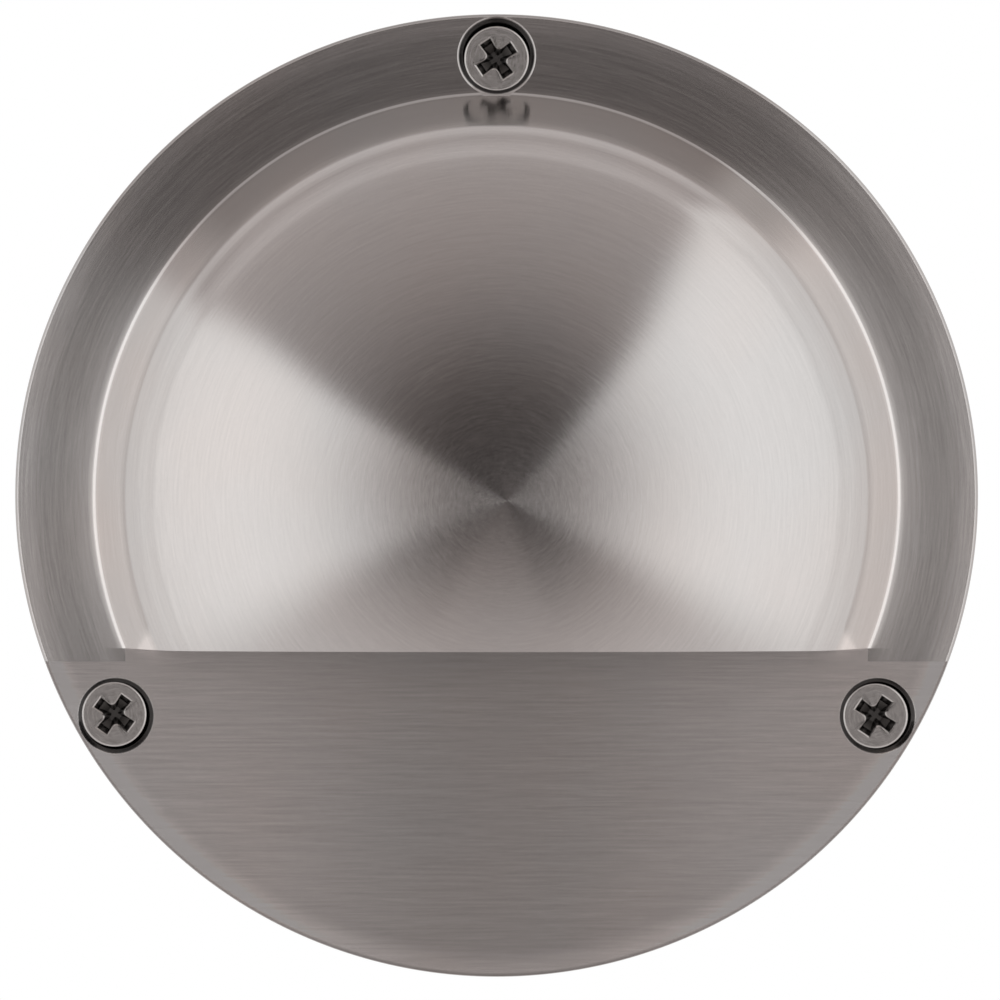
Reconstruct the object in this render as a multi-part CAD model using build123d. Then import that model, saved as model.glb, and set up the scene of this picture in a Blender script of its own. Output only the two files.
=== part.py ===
from build123d import *
from math import cos, radians, sin, sqrt, tan
import os

# Recessed step light with an eyelid hood. Millimetres, +Z up. The wall is the plane Y = 0, the light
# faces -Y, and the origin is the centre of the fixing-screw circle on that plane.

# ---- face ----
face_d = 110.0
rim_depth = 7.5
rim_wall = 3.0
rim_edge_r = 0.35
plate_t = 3.0
ring_w = 9.1

# ---- hood (eyelid) ----
hood_h = 13.0
hood_wall = 2.4
hood_side_angle = 61.0
hood_shoulder_r = 5.4
hood_crown_angle = 11.5
hood_foot_r = 0.5
lip_drop = 17.4
lip_edge_r = 0.4
flat_drop = 1.5
flat_step = 0.12

# ---- fixing screws and wall gasket ----
screw_edge = 4.75
screw_count = 3
screw_first_angle = 90.0
sink_d = 8.9
screw_head_d = 7.45
screw_head_edge = 0.15
screw_thread_d = 4.0
screw_neck_d = 2.9
screw_hole_d = 4.5
screw_reach = 28.0
screw_tip_l = 4.0
post_d = 9.0
gasket_t = 1.5
gasket_w = 8.5
gasket_inset = 0.5

# ---- lamp housing ----
cut_out_cover = 17.0
band_l = 7.5
fin_count = 30
fin_t = 1.8
fin_depth = 4.2
fin_end_drop = 1.0
seat_wall = 4.0
ledge_w = 4.0
flange_t = 3.0
chamber_l = 11.9
web_t = 4.0
rear_wall = 6.3

# ---- ears of the housing and their screws ----
ear_t = 2.7
ear_r = 3.2
boss_d = 6.0
ear_screw_d = 3.0
ear_screw_l = 6.0
ear_screw_head_d = 5.3

# ---- glass, its gasket, clamp ring and the seal behind the face ----
lens_t = 4.0
lens_edge = 0.4
lip_t = 0.8
lip_w = 2.2
lens_side_t = 0.9
clamp_t = 1.3
clamp_edge = 0.32
clamp_cover = 0.4
clamp_margin = 1.5
clamp_screw_count = 6
clamp_screw_d = 2.5
clamp_screw_head_d = 4.5
clamp_screw_l = 6.0
seal_w = 1.6

# ---- diodes, board, pad and reflector ----
pad_t = 0.5
board_t = 1.6
board_margin = 5.0
chip_t = 0.8
chip_count = 8
chip_room = 2.8
floor_t = 1.2
dish_wall = 1.3
dish_inset = 1.0
dish_end_gap = 0.9
board_screw_inset = 5.0
board_screw_count = 3
board_screw_d = 3.0
board_screw_l = 6.0
connector_w = 7.0
connector_d = 5.0
connector_h = 5.0
pocket_depth = 1.5
window_w = 8.6

# ---- leads and grommet ----
lead_d = 1.4
lead_pitch = 2.1
lead_inset = 1.5
lead_bend_r = 4.2
lead_height = 3.3
lead_rear = 9.0
grommet_bore_d = 4.4
grommet_neck_d = 5.8
grommet_d = 7.8
grommet_lip_t = 1.0

# ---- driver and terminal block ----
driver_room = 8.5
driver_lead_room = 4.6
driver_h = 14.0
driver_wall = 1.6
driver_corner_r = 3.0
driver_rim = 1.0
driver_ear_t = 2.0
driver_ear_r = 3.4
driver_screw_d = 3.0
driver_screw_l = 4.7
terminal_w = 16.0
terminal_d = 9.0
terminal_h = 8.5
terminal_inset = 2.5
terminal_pitch = 8.0
terminal_slot = 1.3
well_d = 4.2
well_depth = 5.0
wire_entry_d = 3.2
terminal_screw_d = 3.8
terminal_head_l = 2.0
wire_room = 2.5

# ---- rear cover ----
cover_t = 3.0
cover_inset = 1.6
cover_edge_r = 1.0
cover_gasket_t = 1.0
spigot_l = 2.0
spigot_wall = 2.0
cover_pad_d = 30.0
cover_pad_t = 1.0
cover_screw_count = 4
cover_screw_d = 3.0
cover_screw_l = 9.0

# ---- cable gland ----
gland_thread_d = 16.0
gland_thread_l = 11.0
gland_hex_room = 6.0
gland_hex_t = 5.0
collar_l = 5.0
claw_l = 6.0
claw_wall = 1.6
claw_count = 8
claw_slot = 1.2
locknut_t = 4.5
washer_t = 1.0
washer_w = 2.6
cap_l = 15.0
cap_wall = 2.0
cap_hex_l = 6.0
cap_mouth_d = 9.0
cap_dome_r = 4.0
cable_d = 6.8
cable_seal_l = 10.0

# ---- shares: a screw's head and point of its thread, a diode and its opening of the room between diodes ----
pan_head_share = 1.85
pan_rise_share = 0.6
point_share = 0.33
opening_share = 0.63
chip_long_share = 0.67
chip_short_share = 0.54

# ---- clearances ----
thread_gap = 0.05
sink_gap = 0.05
fill_gap = 0.05
seat_gap = 0.1
hole_gap = 0.2
free_gap = 0.4

# ---- levels along Y ----
rim_back = -gasket_t
front = rim_back - rim_depth
plate_back = front + plate_t
flange_front = rim_back - flange_t
ear_back = flange_front + ear_t
clamp_front = flange_front - clamp_t
glass_front = flange_front + lip_t
glass_back = glass_front + lens_t
ledge = glass_back + lip_t
band_end = rim_back + band_l
web_front = ledge + chamber_l
web_back = web_front + web_t
pad_front = web_front - pad_t
board_front = pad_front - board_t
floor_front = board_front - floor_t
lead_front = board_front - lead_height
lead_back = web_back + lead_rear
driver_back = web_back + driver_h
potting_back = driver_back - driver_rim
terminal_back = potting_back + terminal_h
thread_end = terminal_back + wire_room
hex_front = thread_end + gland_thread_l
hex_back = hex_front + gland_hex_t
collar_back = hex_back + collar_l
gland_seat = hex_front - washer_t
cover_back = gland_seat - cover_pad_t
cover_front = cover_back - cover_t
body_back = cover_front - cover_gasket_t

# ---- radii, and heights in Z ----
face_r = face_d / 2
hood_r = face_r - ring_w
screw_r = face_r - screw_edge
body_r = face_r - cut_out_cover
flange_r = screw_r - post_d / 2 - free_gap
ear_circle_r = face_r - rim_wall - ear_r - free_gap
root_r = body_r - fin_depth
lens_seat_r = body_r - seat_wall
lens_r = lens_seat_r - seat_gap - lens_side_t
clamp_screw_r = body_r - seat_wall / 2
chamber_r = lens_seat_r - ledge_w
board_r = chamber_r - board_margin
lead_z = board_r - lead_inset
notch_z = lead_z - grommet_d / 2 - hole_gap
connector_top = notch_z - 2 * free_gap
connector_z = connector_top - connector_d / 2
chip_ring_r = connector_top - connector_d - chip_room
dish_hole_d = 2 * chip_ring_r * sin(radians(180.0 / chip_count)) * opening_share
chip_w = dish_hole_d * chip_long_share
chip_h = dish_hole_d * chip_short_share
board_screw_x = board_r - board_screw_inset
rear_r = root_r - rear_wall
cover_screw_x = rear_r + rear_wall / 2
driver_w = 2 * (rear_r - driver_room)
driver_d = 2 * (lead_z - grommet_d / 2 - driver_lead_room)
driver_screw_x = driver_w / 2 + driver_ear_r
terminal_drop = driver_d / 2 - terminal_inset - terminal_d / 2
gland_hex = gland_thread_d + gland_hex_room
lip_z = -lip_drop
flat_z = lip_z - flat_drop

# ---- hood section: side cone, shoulder arc and crown arc, each tangent to the next ----
side = radians(hood_side_angle)
crown = radians(hood_crown_angle)
crown_rise = tan(crown / 2)
shoulder_w = hood_shoulder_r * (sin(side) - sin(crown))
shoulder_h = hood_shoulder_r * (cos(crown) - cos(side))
cone_h = hood_h - shoulder_h - (hood_r - shoulder_w) * crown_rise
cone_l = cone_h / (sin(side) - cos(side) * crown_rise)
crown_r = (hood_r - cone_l * cos(side) - shoulder_w) / sin(crown)
shoulder_x = hood_r - cone_l * cos(side) - hood_shoulder_r * sin(side)
shoulder_y = front - cone_l * sin(side) + hood_shoulder_r * cos(side)


def turned(*points):
    """Solid of revolution about Y from corners given as (radius, y)."""
    return revolve(make_face(Polyline(*points, close=True).edges()), Axis.Y)


def ring(outer_r, inner_r, y0, y1):
    """Flat ring about Y."""
    return turned((inner_r, y0), (outer_r, y0), (outer_r, y1), (inner_r, y1))


def rod(d, y0, y1, x=0.0, z=0.0):
    """Round bar along Y."""
    standing = Cylinder(d / 2, y1 - y0, align=(Align.CENTER, Align.CENTER, Align.MIN))
    return Pos(x, y0, z) * Rot(-90, 0, 0) * standing


def block(w, d, y0, y1, x=0.0, z=0.0):
    """Rectangular bar along Y, w wide in X and d high in Z."""
    return Pos(x, (y0 + y1) / 2, z) * Box(w, y1 - y0, d)


def prism(outline, y0, y1):
    """A flat outline, centred on Y, carried along Y."""
    return Pos(0, y0, 0) * Rot(-90, 0, 0) * extrude(outline, amount=y1 - y0)


def around(solid, count, first=0.0):
    """Copies round Y of a solid that stands on the +X side. Angles run from +X towards +Z."""
    return [Rot(0, -first - i * 360.0 / count, 0) * solid for i in range(count)]


def above(level, y0, y1):
    """Slab that holds everything above a level in Z, between two Y planes."""
    return block(2 * face_d, 2 * face_d, y0, y1, z=level + face_d)


def wall_places(solid):
    """Copies at the fixing screws."""
    return around(solid, screw_count, screw_first_angle)


def ear_places(solid):
    """Copies at the housing's ears, midway between the fixing screws."""
    return around(solid, screw_count, screw_first_angle + 180.0 / screw_count)


def group(solids):
    """Separate solids that share one node."""
    return Compound(children=list(solids))


def sunk_screw(d, head_d, top, length, way):
    """Countersunk screw on the Y axis: flat head at top, shank along way (+1 or -1)."""
    r = d / 2
    head_r = head_d / 2
    neck = top + way * (head_r - r)
    tip = top + way * length
    point = r * point_share
    return turned((0, top), (head_r, top), (r, neck), (r, tip - way * point), (r - point, tip), (0, tip))


def pan_screw(d, seat, length, way):
    """Pan-head screw on the Y axis: domed head standing on seat, shank along way (+1 or -1)."""
    r = d / 2
    head_r = r * pan_head_share
    rise = d * pan_rise_share
    top = seat - way * rise
    tip = seat + way * length
    point = r * point_share
    dome_h = rise / 2
    dome_r = (head_r**2 + dome_h**2) / (2 * dome_h)
    half_h = dome_r - sqrt(dome_r**2 - head_r**2 / 4)
    edge = (head_r, top + way * dome_h)
    shank = Polyline(
        (0, top),
        (0, tip),
        (r - point, tip),
        (r, tip - way * point),
        (r, seat),
        (head_r, seat),
        edge,
    )
    dome = ThreePointArc(edge, (head_r / 2, top + way * half_h), (0, top))
    return revolve(make_face(shank.edges() + dome.edges()), Axis.Y)


def hood_dome(inset):
    """Full dome of revolution, inset evenly from the hood's outer skin."""
    arc_r = hood_shoulder_r - inset
    cap_r = crown_r - inset
    cap_y = front - hood_h + crown_r
    foot = (hood_foot(inset), front)
    low, middle, high = [
        (shoulder_x + arc_r * sin(a), shoulder_y - arc_r * cos(a)) for a in (side, (side + crown) / 2, crown)
    ]
    cap_middle = (cap_r * sin(crown / 2), cap_y - cap_r * cos(crown / 2))
    apex = (0, front - hood_h + inset)
    wall = Polyline(apex, (0, front), foot, low)
    shoulder = ThreePointArc(low, middle, high)
    cap = ThreePointArc(high, cap_middle, apex)
    return revolve(make_face(wall.edges() + shoulder.edges() + cap.edges()), Axis.Y)


def hood_foot(inset):
    """Radius of the dome where it meets the front plane."""
    return hood_r - inset / sin(side)


# ---- eyelid face: ring, hood and lower plate in one piece ----
def eyelid_face():
    top = front - 2 * hood_h
    # the hood is a dome cut off level at the lip, with the lip's outer edge rounded
    hood = hood_dome(0.0) & above(lip_z, top, front)
    lip = hood.faces().sort_by(Axis.Z)[0].edges().sort_by(Axis.Y)
    hood = fillet(lip[:-1], lip_edge_r)
    plate = rod(face_d, front, rim_back)
    plate = fillet(plate.edges().filter_by(GeomType.CIRCLE).sort_by(Axis.Y)[0], rim_edge_r)
    face = plate + hood
    foot = face.edges().filter_by(GeomType.CIRCLE).sort_by(lambda e: abs(e.radius - hood_r))[0]
    face = fillet(foot, hood_foot_r)
    # light well: the hood's hollow, open at the lip and through the plate behind it
    hollow = hood_dome(hood_wall) + rod(2 * hood_foot(hood_wall), front, plate_back)
    face -= hollow & above(lip_z, top, plate_back)
    # hollow back, with a post for each fixing screw and a boss for each ear
    recess = ring(face_r - rim_wall, 0.0, plate_back, rim_back)
    recess -= wall_places(rod(post_d, plate_back, rim_back, x=screw_r))
    recess -= ear_places(rod(boss_d, plate_back, flange_front, x=ear_circle_r))
    face -= recess
    # countersunk holes, blind tapped holes and the straight-brushed flat below the lip
    hole_r = screw_hole_d / 2
    sink_end = front + sink_d / 2 - hole_r
    hole = turned((0, front), (sink_d / 2, front), (hole_r, sink_end), (hole_r, rim_back), (0, rim_back))
    face -= wall_places(Pos(screw_r, 0, 0) * hole)
    tap_end = ear_back - ear_screw_l - hole_gap
    face -= ear_places(rod(ear_screw_d + 2 * thread_gap, tap_end, flange_front, x=ear_circle_r))
    return face - block(face_d, face_d, front - flat_step, front + flat_step, z=flat_z - face_r)


def wall_gasket():
    outer_r = face_r - gasket_inset
    hole = rod(screw_hole_d, rim_back, 0.0, x=screw_r)
    return ring(outer_r, outer_r - gasket_w, rim_back, 0.0) - wall_places(hole)


def face_screw():
    """Countersunk screw: plain neck through the face, thread from the wall plane on."""
    head_r = screw_head_d / 2
    neck_r = screw_neck_d / 2
    thread_r = screw_thread_d / 2
    under = front + sink_d / 2 - head_r - sink_gap
    top = under - screw_head_edge
    head = [(0, top), (head_r, top), (head_r, under), (neck_r, under + head_r - neck_r)]
    thread = [(neck_r, 0), (thread_r, 0), (thread_r, screw_reach - screw_tip_l), (0, screw_reach)]
    return turned(*head, *thread)


# ---- lamp housing: flange, ears, web and cooling fins ----
def lamp_housing():
    body = rod(2 * flange_r, flange_front, rim_back)
    body += rod(2 * body_r, rim_back, band_end)
    body += rod(2 * root_r, band_end, body_back)
    body += ear_places(block(ear_circle_r, 2 * ear_r, flange_front, ear_back, x=ear_circle_r / 2))
    body += ear_places(rod(2 * ear_r, flange_front, ear_back, x=ear_circle_r))
    fin_r = body_r - seat_gap
    fin_root = root_r - fin_t / 2
    fin = Polyline(
        (fin_root, band_end),
        (fin_r, band_end),
        (fin_r - fin_end_drop, body_back),
        (fin_root, body_back),
        close=True,
    )
    body += around(extrude(make_face(fin.edges()), amount=fin_t / 2, both=True), fin_count, 180.0 / fin_count)
    # glass seat, lamp chamber and rear chamber, with the web left between the chambers
    body -= rod(2 * lens_seat_r, flange_front, ledge)
    body -= rod(2 * chamber_r, ledge, web_front)
    body -= rod(2 * rear_r, web_back, body_back)
    body -= rod(grommet_neck_d + 2 * fill_gap, web_front, web_back, z=lead_z)
    # screw holes: ears right through, the rest blind
    ear_hole = turned(
        (0, flange_front),
        (ear_screw_d / 2 + hole_gap, flange_front),
        (ear_screw_d / 2 + hole_gap, ear_back - ear_screw_head_d / 2 - sink_gap + ear_screw_d / 2 + hole_gap),
        (ear_screw_head_d / 2 + sink_gap, ear_back),
        (0, ear_back),
    )
    body -= ear_places(Pos(ear_circle_r, 0, 0) * ear_hole)
    clamp_end = clamp_front + clamp_screw_l + hole_gap
    clamp_hole = rod(clamp_screw_d + 2 * thread_gap, flange_front, clamp_end, x=clamp_screw_r)
    body -= around(clamp_hole, clamp_screw_count)
    board_end = floor_front + board_screw_l + hole_gap
    body -= board_places(rod(board_screw_d + 2 * thread_gap, web_front, board_end, x=board_screw_x))
    driver_end = web_back + driver_ear_t - driver_screw_l - hole_gap
    for x in (-driver_screw_x, driver_screw_x):
        body -= rod(driver_screw_d + 2 * thread_gap, driver_end, web_back, x=x)
    cover_end = cover_back - cover_screw_l - hole_gap
    cover_hole = rod(cover_screw_d + 2 * thread_gap, cover_end, body_back, x=cover_screw_x)
    return body - cover_places(cover_hole)


def board_places(solid):
    """Copies at the board screws, clear of the leads at the top."""
    return around(solid, board_screw_count, 90.0 + 180.0 / board_screw_count)


def cover_places(solid):
    """Copies at the rear cover's screws."""
    return around(solid, cover_screw_count, 180.0 / cover_screw_count)


def housing_seal():
    outer_r = flange_r - seat_gap
    return ring(outer_r, outer_r - seal_w, plate_back, flange_front)


def housing_screws():
    screw = sunk_screw(ear_screw_d, ear_screw_head_d, ear_back - sink_gap, ear_screw_l, -1)
    return ear_places(Pos(ear_circle_r, 0, 0) * screw)


# ---- glass set ----
def glass_lens():
    disc = rod(2 * lens_r, glass_front, glass_back)
    return chamfer(disc.edges().filter_by(GeomType.CIRCLE), lens_edge)


def lens_gasket():
    """U-shaped ring: side wall with a lip in front of the glass and one behind it."""
    inner_r = lens_r - lip_w
    wall = ring(lens_seat_r - fill_gap, lens_r + fill_gap, flange_front, ledge)
    lips = ring(lens_seat_r - fill_gap, inner_r, flange_front, glass_front)
    return wall + lips + ring(lens_seat_r - fill_gap, inner_r, glass_back, ledge)


def clamp_ring():
    outer_r = clamp_screw_r + clamp_screw_head_d / 2 + clamp_margin
    body = ring(outer_r, lens_r - lip_w - clamp_cover, clamp_front, flange_front)
    body = chamfer(body.edges().group_by(Axis.Y)[0], clamp_edge)
    head_r = clamp_screw_head_d / 2 + sink_gap
    hole_r = clamp_screw_d / 2 + hole_gap
    cone_end = clamp_front + head_r - hole_r
    hole = turned(
        (0, clamp_front),
        (head_r, clamp_front),
        (hole_r, cone_end),
        (hole_r, flange_front),
        (0, flange_front),
    )
    return body - around(Pos(clamp_screw_r, 0, 0) * hole, clamp_screw_count)


def clamp_screws():
    screw = sunk_screw(clamp_screw_d, clamp_screw_head_d, clamp_front, clamp_screw_l, 1)
    return around(Pos(clamp_screw_r, 0, 0) * screw, clamp_screw_count)


# ---- lamp chamber ----
def chip_places(solid_d, y0, y1):
    """Round openings at the middle diode and at the ring of diodes."""
    ring_solid = rod(solid_d, y0, y1, x=chip_ring_r)
    return [rod(solid_d, y0, y1)] + around(ring_solid, chip_count, 90.0 + 180.0 / chip_count)


def led_chips():
    middle = block(chip_w, chip_h, board_front - chip_t, board_front)
    outer = block(chip_w, chip_h, board_front - chip_t, board_front, x=chip_ring_r)
    return [middle] + around(outer, chip_count, 90.0 + 180.0 / chip_count)


def board_blank(y0, y1):
    """Disc with the notch for the leads and the screw holes, shared by the board and the pad."""
    disc = rod(2 * board_r, y0, y1)
    disc -= block(window_w, board_r, y0, y1, z=notch_z + board_r / 2)
    return disc - board_places(rod(board_screw_d + 2 * hole_gap, y0, y1, x=board_screw_x))


def board_screws():
    return board_places(Pos(board_screw_x, 0, 0) * pan_screw(board_screw_d, floor_front, board_screw_l, 1))


def reflector():
    """White dish: a floor on the board and a side that opens towards the glass."""
    base_r = board_r - dish_inset
    mouth_r = chamber_r - free_gap
    mouth_y = ledge + dish_end_gap
    dish = turned(
        (0, floor_front),
        (base_r - dish_wall, floor_front),
        (mouth_r - dish_wall, mouth_y),
        (mouth_r, mouth_y),
        (base_r, board_front),
        (0, board_front),
    )
    dish -= chip_places(dish_hole_d, floor_front, board_front)
    dish -= board_places(rod(board_screw_d + 2 * hole_gap, floor_front, board_front, x=board_screw_x))
    window_z = connector_z - connector_d / 2 - free_gap
    window_front = lead_front - lead_d / 2 - free_gap
    return dish - block(window_w, chamber_r, window_front, board_front, z=window_z + chamber_r / 2)


def board_connector():
    body = block(connector_w, connector_d, board_front - connector_h, board_front, z=connector_z)
    pocket = Cylinder(lead_d / 2 + fill_gap, pocket_depth, align=(Align.CENTER, Align.CENTER, Align.MAX))
    for x in lead_places():
        body -= Pos(x, lead_front, connector_top) * pocket
    return body


# ---- leads and grommet ----
def lead_places():
    return (-lead_pitch / 2, lead_pitch / 2)


def lead(x):
    """Lead from the driver, through the web, to the board's connector."""
    path = FilletPolyline(
        (x, lead_back, driver_d / 2 - driver_wall),
        (x, lead_back, lead_z),
        (x, lead_front, lead_z),
        (x, lead_front, connector_top - pocket_depth),
        radius=lead_bend_r,
    )
    section = Plane(origin=path @ 0, z_dir=path % 0) * Circle(lead_d / 2)
    return sweep(section, path=path)


def web_grommet():
    neck = rod(grommet_neck_d, web_front, web_back, z=lead_z)
    neck += rod(grommet_d, web_front - grommet_lip_t, web_front, z=lead_z)
    neck += rod(grommet_d, web_back, web_back + grommet_lip_t, z=lead_z)
    return neck - rod(grommet_bore_d, web_front - grommet_lip_t, web_back + grommet_lip_t, z=lead_z)


# ---- rear chamber ----
def rounded(w, d, r, y0, y1):
    return prism(RectangleRounded(w, d, r), y0, y1)


def driver_case():
    tub = rounded(driver_w, driver_d, driver_corner_r, web_back, driver_back)
    ears = block(2 * driver_screw_x, 2 * driver_ear_r, web_back, web_back + driver_ear_t)
    for x in (-driver_screw_x, driver_screw_x):
        ears += rod(2 * driver_ear_r, web_back, web_back + driver_ear_t, x=x)
    for x in (-driver_screw_x, driver_screw_x):
        ears -= rod(driver_screw_d + 2 * hole_gap, web_back, web_back + driver_ear_t, x=x)
    inner_r = driver_corner_r - driver_wall
    inner_w = driver_w - 2 * driver_wall
    inner_d = driver_d - 2 * driver_wall
    tub += ears
    tub -= rounded(inner_w, inner_d, inner_r, web_back + driver_wall, driver_back)
    hole = Cylinder(lead_d / 2 + fill_gap, 2 * driver_wall)
    for x in lead_places():
        tub -= Pos(x, lead_back, driver_d / 2) * hole
    return tub


def driver_potting():
    inner_r = driver_corner_r - driver_wall - fill_gap
    inner_w = driver_w - 2 * driver_wall - 2 * fill_gap
    inner_d = driver_d - 2 * driver_wall - 2 * fill_gap
    return rounded(inner_w, inner_d, inner_r, web_back + driver_wall, potting_back)


def driver_screws():
    screw = pan_screw(driver_screw_d, web_back + driver_ear_t, driver_screw_l, -1)
    return [Pos(-driver_screw_x, 0, 0) * screw, Pos(driver_screw_x, 0, 0) * screw]


def terminal_places():
    return (-terminal_pitch / 2, terminal_pitch / 2)


def terminal_block():
    """Two-pole block: a screw well and a wire entry for each pole, and a slot between the poles."""
    seat = terminal_back - well_depth
    body = block(terminal_w, terminal_d, potting_back, terminal_back, z=-terminal_drop)
    body -= block(terminal_slot, terminal_d, seat, terminal_back, z=-terminal_drop)
    entry = Cylinder(wire_entry_d / 2, terminal_d / 2, align=(Align.CENTER, Align.CENTER, Align.MIN))
    for x in terminal_places():
        body -= rod(well_d, seat, terminal_back, x=x, z=-terminal_drop)
        body -= Pos(x, seat - wire_entry_d / 2, -terminal_drop - terminal_d / 2) * entry
    return body


def terminal_screws():
    seat = terminal_back - well_depth
    screw = rod(terminal_screw_d, seat, seat + terminal_head_l, z=-terminal_drop)
    return [Pos(x, 0, 0) * screw for x in terminal_places()]


# ---- rear cover and its seal ----
def rear_cover():
    disc = rod(2 * (body_r - cover_inset), cover_front, cover_back)
    disc = fillet(disc.edges().filter_by(GeomType.CIRCLE).sort_by(Axis.Y)[-1], cover_edge_r)
    disc += rod(cover_pad_d, cover_back, gland_seat)
    spigot_r = rear_r - seat_gap
    disc += ring(spigot_r, spigot_r - spigot_wall, body_back - spigot_l, cover_front)
    disc -= rod(gland_thread_d + 2 * hole_gap, cover_front, gland_seat)
    return disc - cover_places(rod(cover_screw_d + 2 * hole_gap, cover_front, cover_back, x=cover_screw_x))


def cover_gasket():
    body = ring(root_r, rear_r, body_back, cover_front)
    return body - cover_places(rod(cover_screw_d + 2 * hole_gap, body_back, cover_front, x=cover_screw_x))


def cover_screws():
    return cover_places(Pos(cover_screw_x, 0, 0) * pan_screw(cover_screw_d, cover_back, cover_screw_l, -1))


# ---- cable gland ----
def gland_hexagon(across_flats, y0, y1):
    return prism(RegularPolygon(across_flats / 2, 6, major_radius=False), y0, y1)


def gland_body():
    claw_r = gland_thread_d / 2 - seat_gap
    bore_r = claw_r - claw_wall
    body = rod(gland_thread_d, thread_end, hex_front)
    body += gland_hexagon(gland_hex, hex_front, hex_back)
    body += rod(gland_thread_d, hex_back, collar_back)
    body += rod(2 * claw_r, collar_back, collar_back + claw_l)
    slot = block(2 * gland_thread_d, claw_slot, collar_back, collar_back + claw_l)
    for i in range(claw_count // 2):
        body -= Rot(0, i * 360.0 / claw_count, 0) * slot
    return body - rod(2 * bore_r, thread_end, collar_back + claw_l)


def gland_washer():
    inner_r = gland_thread_d / 2 + seat_gap
    return ring(inner_r + washer_w, inner_r, gland_seat, hex_front)


def gland_locknut():
    nut = gland_hexagon(gland_hex, cover_front - locknut_t, cover_front)
    return nut - rod(gland_thread_d + 2 * thread_gap, cover_front - locknut_t, cover_front)


def gland_seal():
    outer_r = gland_thread_d / 2 - seat_gap - claw_wall - fill_gap
    inner_r = cable_d / 2
    back = collar_back + claw_l
    return ring(outer_r, inner_r, back - cable_seal_l, back)


def gland_cap():
    inner_r = gland_thread_d / 2 + thread_gap
    outer_r = inner_r + cap_wall
    y0 = hex_back + free_gap
    y1 = y0 + cap_l
    cap = rod(2 * outer_r, y0, y1)
    cap = fillet(cap.edges().filter_by(GeomType.CIRCLE).sort_by(Axis.Y)[-1], cap_dome_r)
    cap += gland_hexagon(2 * outer_r, y0, y0 + cap_hex_l)
    cap -= rod(2 * inner_r, y0, collar_back + claw_l + seat_gap)
    return cap - rod(cap_mouth_d, y0, y1)


nodes = {
    "eyelid_face": eyelid_face(),
    "wall_gasket": wall_gasket(),
    "face_screws": group(wall_places(Pos(screw_r, 0, 0) * face_screw())),
    "lamp_housing": lamp_housing(),
    "housing_seal": housing_seal(),
    "housing_screws": group(housing_screws()),
    "glass_lens": glass_lens(),
    "lens_gasket": lens_gasket(),
    "clamp_ring": clamp_ring(),
    "clamp_screws": group(clamp_screws()),
    "reflector": reflector(),
    "led_board": board_blank(board_front, pad_front),
    "led_chips": group(led_chips()),
    "board_connector": board_connector(),
    "thermal_pad": board_blank(pad_front, web_front),
    "board_screws": group(board_screws()),
    "web_grommet": web_grommet(),
    "lead_red": lead(-lead_pitch / 2),
    "lead_black": lead(lead_pitch / 2),
    "driver_case": driver_case(),
    "driver_potting": driver_potting(),
    "driver_screws": group(driver_screws()),
    "terminal_block": terminal_block(),
    "terminal_screws": group(terminal_screws()),
    "rear_cover": rear_cover(),
    "cover_gasket": cover_gasket(),
    "cover_screws": group(cover_screws()),
    "gland_body": gland_body(),
    "gland_washer": gland_washer(),
    "gland_locknut": gland_locknut(),
    "gland_seal": gland_seal(),
    "gland_cap": gland_cap(),
}

os.makedirs("parts", exist_ok=True)
for name, solid in nodes.items():
    export_step(solid, f"parts/{name}.step")
print("lead bend radius", lead_bend_r, "mm, three of", lead_d, "mm across")
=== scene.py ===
import math

import bpy
from mathutils import Matrix, Vector


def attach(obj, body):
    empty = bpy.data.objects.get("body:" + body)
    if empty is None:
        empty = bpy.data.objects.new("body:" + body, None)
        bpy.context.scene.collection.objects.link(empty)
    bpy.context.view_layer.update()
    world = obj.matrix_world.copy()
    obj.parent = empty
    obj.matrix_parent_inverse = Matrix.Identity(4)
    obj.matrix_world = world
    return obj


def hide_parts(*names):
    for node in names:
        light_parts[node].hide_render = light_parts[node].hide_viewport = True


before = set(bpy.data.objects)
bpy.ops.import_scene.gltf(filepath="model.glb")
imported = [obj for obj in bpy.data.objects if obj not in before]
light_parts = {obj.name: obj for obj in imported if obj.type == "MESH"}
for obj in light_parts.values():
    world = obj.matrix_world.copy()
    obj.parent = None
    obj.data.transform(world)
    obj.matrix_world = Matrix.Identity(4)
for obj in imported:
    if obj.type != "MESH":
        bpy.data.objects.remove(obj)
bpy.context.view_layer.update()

# ---- Lamp housing ----
# The body that goes into the wall: one die casting in aluminium with cooling fins, fine blasted all over. Its
# flange carries three ears, which are screwed to the back of the face, and a web divides its two chambers.


def place(tree, kind, settings=None, **plugs):
    """One node: its settings, and its sockets set or wired by name, or by number as n0, n1, ..."""
    node = tree.nodes.new("ShaderNode" + kind)
    for key, value in (settings or {}).items():
        setattr(node, key, value)
    for key, value in plugs.items():
        plug = node.inputs[int(key[1:])] if key[1:].isdigit() else node.inputs[key.replace("_", " ")]
        if isinstance(value, bpy.types.NodeSocket):
            tree.links.new(value, plug)
        else:
            plug.default_value = value
    return node


def number(tree, operation, a, b=0.0, c=0.0):
    return place(tree, "Math", {"operation": operation}, n0=a, n1=b, n2=c).outputs[0]


def vector(tree, operation, a, b=(0.0, 0.0, 0.0)):
    return place(tree, "VectorMath", {"operation": operation}, n0=a, n1=b).outputs[0]


def noise(tree, at, scale, detail=2.0, roughness=0.5):
    return place(tree, "TexNoise", Vector=at, Scale=scale, Detail=detail, Roughness=roughness).outputs[0]


def blend(tree, share, a, b, kind="RGBA"):
    """Mix of two colours, or of two numbers or vectors where kind says so."""
    first = {"FLOAT": 2, "VECTOR": 4, "RGBA": 6}[kind]
    node = place(tree, "Mix", {"data_type": kind}, n0=share, **{f"n{first}": a, f"n{first + 1}": b})
    return node.outputs[{"FLOAT": 0, "VECTOR": 1, "RGBA": 2}[kind]]


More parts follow.
